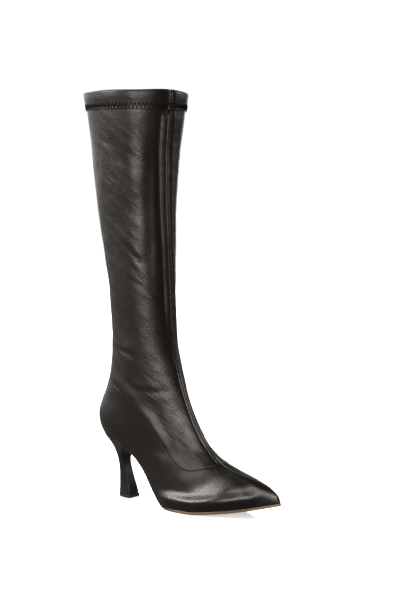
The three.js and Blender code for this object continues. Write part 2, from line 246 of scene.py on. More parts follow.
# The leather is charted by rings round the boot. A ring is where a measure of the surface has one
# value, and its columns are spread by their distance along it from the front seam, close together
# in a strip beside the seam.
chart = {"stations": 640, "turns": 260, "easing": 1.5, "nearWidth": 13, "nearShare": 0.3,
         "nearColumns": 28, "farColumns": 84, "frontShare": 0.7, "endMargin": 1e-5,
         "lastStation": toeRow + 0.97, "leaveRow": 6}


def makeSurface():
    stations = np.linspace(0, chart["lastStation"], chart["stations"])
    quarter = np.linspace(0, 1, chart["turns"] // 2 + 1)
    power = chart["easing"]
    eased = quarter**power / (quarter**power + (1 - quarter) ** power) / 4
    half = np.concatenate((eased, eased[1:] + 0.25))
    turns = np.concatenate((-half[:0:-1], half))
    t, turn = np.meshgrid(stations, turns, indexing="ij")
    return {"t": t, "turn": turn, "point": lastPoint(t, turn)}


surface = makeSurface()
nearShares = np.linspace(0, 1, chart["nearColumns"] + 1)
farShares = np.linspace(0, 1, chart["farColumns"] + 1)[1:]


# Distance round a long ring from its front, as round a track with two straights and round ends.
def roundAbout(x, side):
    side = np.maximum(side, 1e-6)
    end = min(side.max(), (x.max() - x.min()) / 2)
    front, back = x.max() - end, x.min() + end
    inFront = np.arctan2(side, np.maximum(x - front, 0))
    behind = np.arctan2(side, np.minimum(x - back, 0)) - np.pi / 2
    return (inFront + behind) * end + front - np.clip(x, back, front)


# Stations and turns of the places on one ring, and their distances from the front seam.
def ringOf(measure, level):
    found = []
    over = measure > level
    for i, j, i2, j2 in (
        (*np.nonzero(over[:-1] != over[1:]), 1, 0), (*np.nonzero(over[:, :-1] != over[:, 1:]), 0, 1),
    ):
        low, high = measure[i, j], measure[i + i2, j + j2]
        share = (level - low) / (high - low)
        found.append([between(surface[k][i, j], surface[k][i + i2, j + j2], share)
                      for k in ("t", "turn")])
    t, turn = np.concatenate(found, axis=1)
    points = lastPoint(t, turn)
    row = sectionAt(t)
    side, pastSeam = np.abs(points[:, 1] - row["shift"]), row["seamY"] - points[:, 1]
    key = np.sign(turn) * roundAbout(points[:, 0], side)
    order = np.argsort(key)
    t, turn, points, pastSeam, key = (v[order] for v in (t, turn, points, pastSeam, key))
    passed = lengthsAlong(points)
    front = np.abs(key) < chart["frontShare"] * side.max()
    seamPlace = np.interp(0, pastSeam[front], passed[front])

    def sideOffsets(length):
        close = min(chart["nearWidth"], chart["nearShare"] * length)
        return np.concatenate((close * nearShares, close + (length - close) * farShares))

    offset = np.concatenate((-sideOffsets(seamPlace)[:0:-1], sideOffsets(passed[-1] - seamPlace)))
    place = seamPlace + offset
    return np.interp(place, passed, t), np.interp(place, passed, turn), offset


def ringsOf(measure, levels):
    t, turn, offset = np.array([ringOf(measure, level) for level in levels]).transpose(1, 0, 2)
    return {"t": t, "turn": turn, "offset": offset, "point": lastPoint(t, turn),
            "normal": lastNormal(t, turn)}


# A sheet of leather from its edge at the foot's seam to a far edge. The heights of its surface
# above the seam's cut and below the far one share out its rings, which lie close together at the
# seam, reach is about how far it goes, and fromSeam is the distance square to the seam.
def sheetOf(fromSeamHeight, toFarHeight, rows, reach):
    measure = fromSeamHeight / (fromSeamHeight + toFarHeight)
    near = np.array(seamEdgeRows) / reach
    levels = np.concatenate((near, np.linspace(near[-1], 1, rows - len(near) + 1)[1:]))
    levels[0] = chart["endMargin"]
    levels[-1] = 1 - chart["endMargin"]
    sheet = ringsOf(measure, levels)
    point = sheet["point"]
    passed = np.concatenate((np.zeros((1, point.shape[1])),
                             np.cumsum(np.linalg.norm(np.diff(point, axis=0), axis=2), axis=0)))
    seamRun = unit(np.gradient(point[0], axis=0))
    leave = unit(point[chart["leaveRow"]] - point[0])
    sheet["fromSeam"] = passed * np.linalg.norm(np.cross(seamRun, leave), axis=1)
    return sheet


# Angle round the leg in degrees, from the front to the outer side.
def legAngle(points):
    leg = dict(zip(sectionColumns, sections[legRow::-1].T))
    front, back, half = (np.interp(points[..., 2], leg["frontZ"], leg[k])
                         for k in ("frontX", "backX", "outer"))
    return np.degrees(np.arctan2(-points[..., 1] / half,
                                 (points[..., 0] - (front + back) / 2) / ((front - back) / 2)))


aroundScale = 0.7  # millimetres of leather to a degree round the leg
creaseRun = (0.08, 0.92)  # the part of a half wave that a crease's depth runs through


# Height of one crease: a soft trough, or a ridge where its depth is positive, along a path of
# places given as degrees round the leg and height above the floor.
def creaseHeight(points, path, depth, width):
    u, v = legAngle(points) * aroundScale, points[..., 2]
    corners = np.array(path, float) * (aroundScale, 1)
    nearest = np.full(u.shape, np.inf)
    place = np.zeros(u.shape)
    passed = lengthsAlong(corners)
    passed /= passed[-1]
    for k, (a, b) in enumerate(zip(corners[:-1], corners[1:])):
        along = b - a
        share = np.clip(((u - a[0]) * along[0] + (v - a[1]) * along[1]) / (along @ along), 0, 1)
        distance = np.hypot(u - a[0] - share * along[0], v - a[1] - share * along[1])
        closer = distance < nearest
        nearest = np.where(closer, distance, nearest)
        place = np.where(closer, between(passed[k], passed[k + 1], share), place)
    return depth * np.sin(np.pi * between(*creaseRun, place)) * hump(nearest, 0, width)


def softUnevenness(points, lengths, seed):
    scaled = (points / np.array(lengths)).reshape(-1, 3)
    values = [noise.noise(Vector(p) + Vector((seed, 0, 0))) for p in scaled]
    return np.array(values).reshape(points.shape[:-1])


grid = {"weld": 0.03, "shortest": 0.01}  # millimetres, for its places and its edges


# A mesh object from rows of places, as a grid that is then pulled into shape, with the share of
# the full wall that each place has.
def gridObject(name, places, wall=None):
    rows, columns = places.shape[:2]
    bm = bmesh.new()
    deform = bm.verts.layers.deform.verify()
    bmesh.ops.create_grid(bm, x_segments=columns - 1, y_segments=rows - 1, size=1)
    bm.verts.ensure_lookup_table()
    world = (places * mm + origin).reshape(-1, 3)
    for k, vertex in enumerate(bm.verts):
        vertex.co = world[k]
        if wall is not None:
            vertex[deform][0] = float(wall.flat[k])
    bmesh.ops.remove_doubles(bm, verts=bm.verts, dist=grid["weld"] * mm)
    bmesh.ops.dissolve_degenerate(bm, edges=bm.edges, dist=grid["shortest"] * mm)
    bmesh.ops.recalc_face_normals(bm, faces=bm.faces)
    return finishObject(name, bm, wall is not None)


def finishObject(name, bm, walled=False):
    for face in bm.faces:
        face.smooth = True
    mesh = bpy.data.meshes.new(name)
    bm.to_mesh(mesh)
    bm.free()
    obj = bpy.data.objects.new(name, mesh)
    bpy.context.collection.objects.link(obj)
    if walled:
        obj.vertex_groups.new(name="wall")
    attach(obj, "root")
    return obj


def newMaterial(name):
    material = bpy.data.materials.new(name)
    material.use_nodes = True
    return material, material.node_tree, material.node_tree.nodes["Principled BSDF"]


# Sets a node's inputs, and links those that are given another node's output.
def feed(tree, node, inputs):
    for key, value in inputs.items():
        if hasattr(value, "links"):
            tree.links.new(value, node.inputs[key])
        else:
            node.inputs[key].default_value = value


def addNode(tree, kind, inputs, **settings):
    node = tree.nodes.new(kind)
    for key, value in settings.items():
        setattr(node, key, value)
    feed(tree, node, inputs)
    return node


def objectPlaces(tree):
    return tree.nodes.new("ShaderNodeTexCoord").outputs["Object"]


def noiseNode(tree, place, scale, detail, roughness=0.5):
    return addNode(tree, "ShaderNodeTexNoise", {
        "Vector": place, "Scale": scale, "Detail": detail, "Roughness": roughness,
    }).outputs


def bumpNode(tree, height, strength, depth):
    return addNode(tree, "ShaderNodeBump", {
        "Height": height, "Strength": strength, "Distance": depth * mm,
    }).outputs["Normal"]


def mathNode(tree, operation, first, second):
    return addNode(tree, "ShaderNodeMath", {0: first, 1: second}, operation=operation).outputs[0]


def rangeNode(tree, value, fromLow, fromHigh, toLow, toHigh):
    return addNode(tree, "ShaderNodeMapRange", {
        "Value": value, "From Min": fromLow, "From Max": fromHigh, "To Min": toLow, "To Max": toHigh,
    }).outputs["Result"]


def mixColour(tree, share, low, high):
    low, high = ((*tone, 1) if isinstance(tone, tuple) else tone for tone in (low, high))
    return addNode(tree, "ShaderNodeMix", {"Factor": share, "A": low, "B": high},
                   data_type="RGBA").outputs["Result"]


# Leather grain: fine pebbles broken by soft pull lines that run down towards the toe, both with
# their depth in millimetres, and a slow mottling of tone and gloss.
grainLook = {
    "pebble": 0.0016, "pebbleSoftness": 0.6, "warpScale": 260, "warp": 0.0009, "fineScale": 1500,
    "pebbleDepth": 0.06, "pullDepth": 0.3, "pullLean": 0.62, "pullSizes": (0.015, 0.012, 0.0036),
    "mottleScale": 34, "mottleRange": (0.3, 0.7), "poreDullness": 0.08,
}


def makeGrain(look):
    tree = bpy.data.node_groups.new("leatherGrain", "ShaderNodeTree")
    tree.interface.new_socket("Vector", in_out="INPUT", socket_type="NodeSocketVector")
    for name, key in (("Pebble Size", "pebble"), ("Pebble Depth", "pebbleDepth"),
                      ("Pull Depth", "pullDepth")):
        socket = tree.interface.new_socket(name, in_out="INPUT", socket_type="NodeSocketFloat")
        socket.default_value = look[key]
    for name in ("Height", "Mottle", "Pores"):
        tree.interface.new_socket(name, in_out="OUTPUT", socket_type="NodeSocketFloat")
    start = tree.nodes.new("NodeGroupInput").outputs
    place = start["Vector"]
    warp = noiseNode(tree, place, look["warpScale"], 2)["Color"]
    bend = addNode(tree, "ShaderNodeVectorMath", {0: warp, "Scale": look["warp"]},
                   operation="SCALE")
    bent = addNode(tree, "ShaderNodeVectorMath", {0: place, 1: bend.outputs[0]}, operation="ADD")
    cells = addNode(tree, "ShaderNodeTexVoronoi", {
        "Vector": bent.outputs[0], "Smoothness": look["pebbleSoftness"],
        "Scale": mathNode(tree, "DIVIDE", 1, start["Pebble Size"]),
    }, feature="SMOOTH_F1").outputs["Distance"]
    stretch = addNode(tree, "ShaderNodeMapping", {
        "Vector": place, "Rotation": (0, look["pullLean"], 0), "Scale": look["pullSizes"],
    }, vector_type="TEXTURE")
    pulls = noiseNode(tree, stretch.outputs[0], 1, 3, 0.55)["Fac"]
    dome = mathNode(tree, "SUBTRACT", noiseNode(tree, place, look["fineScale"], 2)["Fac"], cells)
    pebble = mathNode(tree, "MULTIPLY", dome, start["Pebble Depth"])
    pulled = mathNode(tree, "MULTIPLY", pulls, start["Pull Depth"])
    feed(tree, tree.nodes.new("NodeGroupOutput"), {
        "Height": mathNode(tree, "ADD", pebble, pulled), "Pores": cells,
        "Mottle": noiseNode(tree, place, look["mottleScale"], 3, 0.55)["Fac"],
    })
    return tree


grain = makeGrain(grainLook)


def makeLeather(name, look):
    material, tree, shader = newMaterial(name)
    texture = addNode(tree, "ShaderNodeGroup", {
        "Vector": objectPlaces(tree), "Pebble Depth": look["pebbleDepth"],
        "Pull Depth": look["pullDepth"],
    }, node_tree=grain).outputs
    mottles = grainLook["mottleRange"]
    tone = rangeNode(tree, texture["Mottle"], *mottles, 0, 1)
    polish = rangeNode(tree, texture["Mottle"], *mottles, look["dull"], look["glossy"])
    pores = mathNode(tree, "MULTIPLY", texture["Pores"], grainLook["poreDullness"])
    feed(tree, shader, {
        "Base Color": mixColour(tree, tone, look["dark"], look["light"]),
        "Roughness": mathNode(tree, "ADD", polish, pores),
        "Normal": bumpNode(tree, texture["Height"], 1, 1),
        "IOR": 1.5,
    })
    return material


legLeather = makeLeather("softBlackLeather", {
    "dark": (0.0052, 0.0032, 0.0022), "light": (0.0105, 0.0072, 0.0052), "glossy": 0.28,
    "dull": 0.43, "pebbleDepth": 0.09, "pullDepth": 0.3,
})
footLeather = makeLeather("footBlackLeather", {
    "dark": (0.0048, 0.0036, 0.0029), "light": (0.0088, 0.007, 0.0059), "glossy": 0.23,
    "dull": 0.34, "pebbleDepth": 0.1, "pullDepth": 0.16,
})
heelLeather = makeLeather("heelBlackLeather", {
    "dark": (0.0045, 0.0036, 0.003), "light": (0.0075, 0.0062, 0.0053), "glossy": 0.26, "dull": 0.36,
    "pebbleDepth": 0.03, "pullDepth": 0.04,
})


# A plain finish: one texture mixes its two tones and another makes its relief.
def makePlain(name, look):
    material, tree, shader = newMaterial(name)
    place = objectPlaces(tree)
    tones, relief = (addNode(tree, kind, {"Vector": place, **inputs}, **settings).outputs["Fac"]
                     for kind, inputs, settings in (look["tones"], look["relief"]))
    rough = look["roughness"]
    feed(tree, shader, {
        "Base Color": mixColour(tree, tones, look["dark"], look["light"]),
        "Roughness": rangeNode(tree, relief, 0, 1, *rough) if isinstance(rough, tuple) else rough,
        "Normal": bumpNode(tree, relief, *look["bump"]),
        **look["more"],
    })
    return material


diagonal = {"bands_direction": "DIAGONAL"}
twist = ("ShaderNodeTexWave", {"Scale": 900, "Distortion": 1}, diagonal)
speckle = ("ShaderNodeTexNoise", {"Scale": 1200, "Detail": 4}, {})
lining = makePlain("liningCloth", {
    "tones": ("ShaderNodeTexNoise", {"Scale": 60, "Detail": 4}, {}),
    "relief": ("ShaderNodeTexWave", {"Scale": 520, "Distortion": 0.6}, diagonal),
    "dark": (0.018, 0.017, 0.016), "light": (0.034, 0.032, 0.03), "bump": (0.4, 0.15),
    "roughness": 0.85, "more": {"Sheen Weight": 0.25},
})
thread = makePlain("blackThread", {
    "tones": twist, "relief": twist, "dark": (0.004, 0.004, 0.004), "light": (0.009, 0.0085, 0.008),
    "bump": (0.5, 0.1), "roughness": 0.75, "more": {"Specular IOR Level": 0.15},
})
rubber = makePlain("heelRubber", {
    "tones": speckle, "relief": speckle, "dark": (0.006, 0.006, 0.006),
    "light": (0.016, 0.0155, 0.015), "bump": (0.3, 0.1), "roughness": (0.5, 0.7), "more": {},
})


# The sole: tan under the forefoot, stained black along the waist.
def makeSoleFinish(look):
    material, tree, shader = newMaterial("tanSole")
    place = objectPlaces(tree)
    along = addNode(tree, "ShaderNodeSeparateXYZ", {0: place}).outputs["X"]
    cloud = noiseNode(tree, place, 90, 5, 0.6)["Fac"]
    fibre = noiseNode(tree, place, 1500, 3)["Fac"]
    edge = mathNode(tree, "ADD", along, mathNode(tree, "MULTIPLY", cloud, look["ragged"] * mm))
    forward = rangeNode(tree, edge, *(origin[0] + x * mm for x in look["waistEnds"]), 0, 1)
    tan = mixColour(tree, cloud, look["dark"], look["light"])
    feed(tree, shader, {
        "Base Color": mixColour(tree, forward, look["waist"], tan),
        "Roughness": rangeNode(tree, fibre, 0, 1, *look["roughness"]),
        "Normal": bumpNode(tree, fibre, *look["bump"]),
    })
    return material


soleFinish = makeSoleFinish({
    "dark": (0.2, 0.13, 0.068), "light": (0.34, 0.245, 0.145), "waist": (0.012, 0.011, 0.010),
    "waistEnds": (78, 102), "ragged": 4, "roughness": (0.42, 0.62), "bump": (0.35, 0.1),
})
print("finishes made")

# The front seam's section, as distance from the dark line (outer side positive) and height: down
# the leg it is a deep groove between a rolled lip and a ridge, over the foot a flat double line.
frontSeam = {
    "leg": [(-17, 0), (-13, -0.3), (-9.8, 0.9), (-6.6, -0.3), (-4, -0.2), (-2.5, 0.35), (-1.3, -0.9),
            (-0.3, -2.4), (0.9, -2.4), (1.9, -0.6), (2.8, 2), (3.6, 2.4), (6.2, 1.2), (8.8, -0.3),
            (11.4, -0.6), (15, 0)],
    "instep": [(-17, 0), (-8, 0), (-5, -0.35), (-3.9, 0.2), (-2.3, 0.65), (-1, 0.35), (-0.4, -0.7),
               (0.3, -0.7), (0.8, 0.3), (1.7, 0.6), (2.8, 0.1), (3.8, -0.35), (6, 0), (15, 0)],
    "vamp": [(-17, 0), (-4, 0), (-2.4, 0.15), (-1.1, 0.25), (-0.4, -0.55), (0.3, -0.55), (1, 0.22),
             (2.2, 0.1), (3.6, 0), (15, 0)],
}


softening = {"steps": 400, "taps": 13, "spread": 2}


# Height at an offset across a section that is given as corners, with the corners softened.
def softSection(offset, rows):
    xs, hs = zip(*rows)
    fine = np.linspace(xs[0], xs[-1], softening["steps"])
    kernel = hump(np.linspace(-1, 1, softening["taps"]), 0, 1 / softening["spread"])
    heights = np.pad(np.interp(fine, xs, hs), softening["taps"] // 2, mode="edge")
    return np.interp(offset, fine, np.convolve(heights, kernel / kernel.sum(), mode="valid"))


# Where the seam's section changes, as places along the last's sections, and how far below the
# collar it rises from its height under the band.
seamRun = {"legEnds": (7.2, 9.6), "vampBegins": (18.4, 19.2), "toeFades": (27, 28.6),
           "belowBand": (20, 33), "underBand": 0.12}


def frontSeamHeight(piece):
    t = piece["t"]
    leg, instep, foot = (softSection(piece["offset"], frontSeam[k])
                         for k in ("leg", "instep", "vamp"))
    onLeg = 1 - smoothStep(t, *seamRun["legEnds"])
    onVamp = smoothStep(t, *seamRun["vampBegins"])
    foot = foot * (1 - smoothStep(t, *seamRun["toeFades"]))
    height = leg * onLeg + instep * (1 - onLeg) * (1 - onVamp) + foot * onVamp
    below = smoothStep(belowCollar(piece["point"]), *seamRun["belowBand"])
    return height * between(seamRun["underBand"], 1, below)


# Creases and swellings of the leg: depth or rise and half width in millimetres, then the path, as
# places in degrees round the leg and heights above the floor.
legCreases = [
    (-1.1, 2.6, (112, 179), (95, 174), (82, 169)),
    (0.6, 4, (110, 184), (94, 180), (80, 175)),
    (-0.65, 2.4, (94, 143), (84, 133), (62, 131), (30, 132)),
    (0.5, 4, (84, 139), (66, 137), (48, 137)),
    (0.5, 4.5, (78, 124), (56, 123), (34, 125)),
    (-0.6, 3.4, (90, 306), (70, 290), (52, 274)),
    (0.45, 3.4, (90, 312), (70, 297), (52, 281)),
    (-0.5, 3, (86, 287), (64, 267)),
    (-0.45, 3, (80, 259), (55, 250)),
    (-0.5, 2.8, (55, 249), (38, 243), (22, 236)),
    (0.4, 3, (55, 243), (38, 237), (24, 231)),
    (-0.8, 6, (98, 434), (82, 402), (71, 377)),
    (0.8, 7, (62, 384), (56, 366), (52, 350)),
    (0.7, 9, (64, 462), (58, 430), (55, 402)),
    (-0.8, 5.5, (34, 452), (36, 400), (38, 330), (40, 247)),
    (-0.8, 3, (132, 143), (111, 133), (95, 122), (86, 113)),
    (0.7, 5, (128, 176), (120, 164), (108, 152)),
    (0.5, 4, (84, 112), (69, 97), (56, 83)),
    (-0.4, 5, (120, 330), (104, 300), (92, 282)),
    (-0.5, 5, (-50, 420), (-42, 360), (-36, 300)),
    (-0.5, 4, (-90, 300), (-70, 286), (-50, 276)),
    (-0.9, 3, (-112, 180), (-95, 173), (-80, 169)),
    (-0.7, 3, (-94, 143), (-80, 134), (-55, 131), (-32, 133)),
    (0.6, 4, (-86, 140), (-66, 138), (-48, 138)),
    (-0.6, 3.4, (-132, 144), (-112, 134), (-92, 120)),
    (-0.4, 4, (170, 262), (150, 252), (126, 246)),
    (-0.5, 4, (176, 205), (152, 196), (132, 188)),
]
seamEdgeRows = (0, 0.14, 0.34, 0.6, 0.95, 1.5, 2.2, 3.2, 4.8, 7)  # distances from the foot's seam
seamGap = 0.03  # to each side, where the two leathers are sewn edge to edge
seamThins = (0.4, 4)  # distances over which the wall grows from its sewn edge
thinnestWall = 0.1  # as a share of the full wall
shaft = {
    "wall": 1.6, "rows": 172, "reach": 380, "edgeRoll": 0.6, "sewnShare": 0.4, "foldUnderBand": 1.3,
    "unevenness": 0.5, "swells": (26, 26, 44), "dents": (11, 11, 17), "dentShare": 0.5,
    "pulls": 0.5, "pullSlope": 0.75, "pullLengths": (30, 26, 7), "evenBelowCollar": (14, 40),
    "bulge": 2.3, "bulgeSide": (4, 16), "bulgeBegins": (12, 30), "bulgeEnds": (60, 84),
    "bulgeMiddle": 5, "bulgeWidth": 7, "flatUnderBand": 0.25, "flatEnds": (17, 27),
}
vamp = {
    "wall": 2.2, "rows": 150, "reach": 60, "edgeRoll": 0.65, "sewnShare": 0.35, "unevenness": 0.25,
    "swells": (17, 15, 14), "forefootBegins": (58, 84), "forefootEnds": (176, 198),
    "forefootSide": (4, 12), "toeEvens": (27.5, 29.5), "toeThins": (25, 29), "toeWallShare": 0.12,
}


def hump(value, middle, width):
    return np.exp(-(((value - middle) / width) ** 2))


def edgeDepth(distance, radius):
    inside = np.clip(1 - distance / radius, 0, 1)
    return radius * (1 - np.sqrt(1 - inside**2))


def makeShaft():
    place = surface["point"]
    piece = sheetOf(place[..., 2] - seamHeight(place[..., 0]) - seamGap,
                    belowCollar(place) - shaft["foldUnderBand"], shaft["rows"], shaft["reach"])
    point, fromSeam, below = piece["point"], piece["fromSeam"], belowCollar(piece["point"])
    height = frontSeamHeight(piece)
    for depth, width, *path in legCreases:
        height += creaseHeight(point, path, depth, width)
    slanted = point + point[..., :1] * (0, 0, shaft["pullSlope"])
    swell = softUnevenness(point, shaft["swells"], seed=3)
    swell += shaft["dentShare"] * softUnevenness(point, shaft["dents"], seed=9)
    swell += shaft["pulls"] * softUnevenness(slanted, shaft["pullLengths"], seed=57)
    height += shaft["unevenness"] * swell * smoothStep(below, *shaft["evenBelowCollar"])
    outerSide = smoothStep(-point[..., 1], *shaft["bulgeSide"])
    along = smoothStep(point[..., 0], *shaft["bulgeBegins"])
    along *= 1 - smoothStep(point[..., 0], *shaft["bulgeEnds"])
    bulge = shaft["bulge"] * hump(fromSeam, shaft["bulgeMiddle"], shaft["bulgeWidth"])
    height += bulge * along * outerSide
    height *= between(shaft["flatUnderBand"], 1, smoothStep(below, *shaft["flatEnds"]))
    height -= edgeDepth(fromSeam, shaft["edgeRoll"])
    piece["place"] = point + piece["normal"] * height[..., None]
    wall = between(shaft["sewnShare"], 1, smoothStep(fromSeam, *seamThins))
    obj = gridObject("shaftLeather", piece["place"], wall)
    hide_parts("shaft")
    return obj, piece


# Turns a sheet's faces to look out of the boot, as its widest face on the inner side shows, and
# gives it its wall, lined inside.
def thicken(obj, wall, leather):
    widest = max(obj.data.polygons, key=lambda f: f.center.y)
    if widest.normal.y < 0:
        obj.data.flip_normals()
    obj.data.materials.append(leather)
    obj.data.materials.append(lining)
    solid = obj.modifiers.new("wall", "SOLIDIFY")
    solid.thickness = wall * mm
    solid.offset = -1
    solid.vertex_group = "wall"
    solid.thickness_vertex_group = thinnestWall
    solid.material_offset = 1


shaftPiece, shaftSheet = makeShaft()
thicken(shaftPiece, shaft["wall"], legLeather)
print("shaft leather: %d faces" % len(shaftPiece.data.polygons))


# Swellings and hollows of the vamp and counter, by their middles, half sizes and rises.
footSwells = [
    {"centre": (22, -29, 92), "size": (20, 12, 13), "rise": 0.5},
    {"centre": (-8, -27, 118), "size": (16, 12, 9), "rise": -0.5},
]
# The shoulder where the forefoot's top turns down to its side, as heights above the sole, with
# how far each swelling spreads below and above its middle.
shoulder = [
    {"up": 10.5, "below": 5.5, "above": 5.5, "rise": 2.1},
    {"up": 22, "below": 8, "above": 24, "rise": -1.7},
]


def makeVamp():
    place = surface["point"]
    piece = sheetOf(seamHeight(place[..., 0]) - seamGap - place[..., 2],
                    place[..., 2] - featherHeight(place[..., 0]), vamp["rows"], vamp["reach"])
    point, fromSeam = piece["point"], piece["fromSeam"]
    height = frontSeamHeight(piece)
    height += vamp["unevenness"] * softUnevenness(point, vamp["swells"], seed=21)
    for swell in footSwells:
        away = (point - np.array(swell["centre"])) / np.array(swell["size"])
        height += swell["rise"] * np.exp(-(away**2).sum(axis=-1))
    overSole = point[..., 2] - featherHeight(point[..., 0])
    forefoot = smoothStep(point[..., 0], *vamp["forefootBegins"])
    forefoot *= 1 - smoothStep(point[..., 0], *vamp["forefootEnds"])
    forefoot *= smoothStep(np.abs(point[..., 1]), *vamp["forefootSide"])
    for swell in shoulder:
        width = np.where(overSole < swell["up"], swell["below"], swell["above"])
        height += swell["rise"] * forefoot * hump(overSole, swell["up"], width)
    height *= 1 - smoothStep(piece["t"], *vamp["toeEvens"])
    height -= edgeDepth(fromSeam, vamp["edgeRoll"])
    places = point + piece["normal"] * height[..., None]
    wall = between(vamp["sewnShare"], 1, smoothStep(fromSeam, *seamThins))
    wall *= between(vamp["toeWallShare"], 1, 1 - smoothStep(piece["t"], *vamp["toeThins"]))
    obj = gridObject("vampLeather", places, wall)
    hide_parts("upper")
    return obj


vampPiece = makeVamp()
thicken(vampPiece, vamp["wall"], footLeather)
print("vamp leather: %d faces" % len(vampPiece.data.polygons))

# Collar band: sizes, then how it swells above its stitching, is drawn in under it, and how its
# top edge rises and falls round the leg.
band = {
    "height": 21.5, "proud": 1.1, "behind": 2.9, "wall": 1.0, "puff": 0.55, "puffEnds": 13,
    "pinch": 0.45, "pinchAt": 18.5, "pinchWidth": 3, "lip": 0.25, "lipAt": 1.6, "lipWidth": 1.1,
    "wave": 0.45, "waveLengths": (15, 15, 30), "rise": 0.72, "ripple": 0.45, "riseEnds": (2, 20),
    "notch": 1.1, "notchWidth": 0.8, "notchEnds": (0.5, 4), "joinBegins": (0.4, 3),
    "zigzagTop": 13.3, "zigzagBottom": 21.2, "zigzagStep": 2.25, "threadRadius": 0.46,
    "threadSink": -0.1, "riseTurns": 2, "riseShift": 40, "rippleTurns": 5, "outsideFrom": 0.9,
    "joinFrom": -1,
}


# The band's folded section as (depth below the collar's edge, distance out from the shaft).
def bandSection():
    low, out, back, wall = band["height"], band["proud"], -band["behind"], band["wall"]
    down = [low - 0.7, *np.linspace(low - 1.6, 2.4, 14)]
    short = np.linspace(low - 1, 2.6, 5)
    fold = [(1.25, out - 0.1), (0.55, out - 0.55), (0.14, out - 1.2), (0, -0.8),
            (0.14, back + 1.2), (0.55, back + 0.55), (1.25, back + 0.1)]
    outerFace = [(low, out - wall + 0.25), (low + 0.02, out - 0.35)] + [(h, out) for h in down]
    innerFace = [(h, back) for h in short[::-1]] + [(low, back + 0.3), (low, back + wall - 0.3)]
    under = [(h, back + wall) for h in short]
    crest = [(1.5, back + wall + 0.4), (1.2, -0.8), (1.5, out - wall - 0.4)]
    return outerFace + fold + innerFace + under + crest + [(h, out - wall) for h in short[::-1]]


def bandPlaces(depths, outs):
    levels = np.unique(depths)
    rings = ringsOf(belowCollar(surface["point"]), np.maximum(levels, chart["endMargin"]))
    order = np.searchsorted(levels, depths)
    piece = {key: value[order] for key, value in rings.items()}
    point, offset = piece["point"], piece["offset"]
    depth, out = np.asarray(depths)[:, None], np.asarray(outs)[:, None]
    puff = band["puff"] * np.sin(np.pi * np.clip(depth / band["puffEnds"], 0, 1))
    pinch = band["pinch"] * hump(depth, band["pinchAt"], band["pinchWidth"])
    lip = band["lip"] * hump(depth, band["lipAt"], band["lipWidth"])
    wave = band["wave"] * softUnevenness(point, band["waveLengths"], seed=41)
    join = bandJoin(offset) * smoothStep(depth, *band["joinBegins"])
    outside, notBehind = out > band["outsideFrom"], out > band["joinFrom"]
    height = out + outside * (puff - pinch + lip) + wave + join * notBehind
    angle = legAngle(point)
    rise = band["rise"] * np.sin(np.radians(angle * band["riseTurns"] + band["riseShift"]))
    rise += band["ripple"] * np.sin(np.radians(angle * band["rippleTurns"]))
    rise *= 1 - smoothStep(depth, *band["riseEnds"])
    notch = band["notch"] * hump(offset, 0, band["notchWidth"])
    rise -= notch * (1 - smoothStep(depth, *band["notchEnds"]))
    piece["place"] = point + piece["normal"] * height[..., None] + rise[..., None] * collarUp
    return piece


# The band's join at the front: two dark lines with a light one between.
def bandJoin(offset):
    return softSection(offset, [
        (-17, 0.3), (-12, 0.9), (-6, 0.8), (-3.4, 0.1), (-2.5, -0.9), (-1.9, -0.9), (-0.9, 0.1),
        (0, 0.1), (0.7, -0.9), (1.3, -0.9), (2.4, 0.1), (4, 0.3), (9, 0), (15, 0)])


def makeBand():
    section = bandSection()
    section.append(section[0])
    depths, outs = np.array(section).T
    piece = bandPlaces(depths, outs)
    obj = gridObject("collarBand", piece["place"])
    obj.data.materials.append(legLeather)
    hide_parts("topband")
    return obj


bandPiece = makeBand()
print("collar band: %d faces" % len(bandPiece.data.polygons))


# Stitches: each is a small bent capsule that lies half in the leather.
stitch = {"shortest": 0.2, "overlap": 0.52, "taper": 0.25, "bend": 0.25}


def stitches(name, spans, radius, sink, detail=1):
    bm = bmesh.new()
    thick = radius * mm
    for a, b, normal in spans:
        a, b = (np.array(p) * mm + origin for p in (a, b))
        along = Vector(b - a)
        length = along.length
        if length < stitch["shortest"] * mm:
            continue
        along.normalize()
        side = Vector(normal).cross(along).normalized()
        up = along.cross(side).normalized()
        turnTo = Matrix((along, side, up)).transposed()
        middle = Vector((a + b) / 2) - up * sink * mm
        made = bmesh.ops.create_icosphere(bm, subdivisions=detail, radius=1)["verts"]
        for vertex in made:
            x, y, z = vertex.co
            bulge = math.sqrt(1 + x**2) - stitch["taper"] * abs(x)
            local = Vector((x * length * stitch["overlap"], y * thick * bulge,
                            z * thick * bulge - stitch["bend"] * thick * x**2))
            vertex.co = turnTo @ local + middle
    bmesh.ops.recalc_face_normals(bm, faces=bm.faces)
    obj = finishObject(name, bm)
    obj.data.materials.append(thread)


# A count of places spread evenly along a row, from its start to its end.
def evenPlaces(places, normals, count):
    passed = lengthsAlong(places)
    wanted = np.linspace(0, passed[-1], count)
    return valuesAlong(wanted, passed, places), unit(valuesAlong(wanted, passed, normals))


def makeZigzag():
    top, bottom = band["zigzagTop"], band["zigzagBottom"]
    piece = bandPlaces([top, bottom], [band["proud"]] * 2)
    turns = int(lengthsAlong(piece["place"][0])[-1] / band["zigzagStep"]) // 2 * 2
    high, low = (evenPlaces(piece["place"][k], piece["normal"][k], turns + 1) for k in range(2))
    spans = []
    for k in range(turns):
        first, last = (high, low) if k % 2 == 0 else (low, high)
        spans.append((first[0][k], last[0][k + 1], first[1][k] + last[1][k + 1]))
    stitches("bandZigzag", spans, band["threadRadius"], band["threadSink"], detail=2)


makeZigzag()


# Stitches beside the seam over the foot.
seamStitch = {"step": 2.7, "share": 0.72, "radius": 0.24, "fromEdge": 1.5, "sink": 0.02}


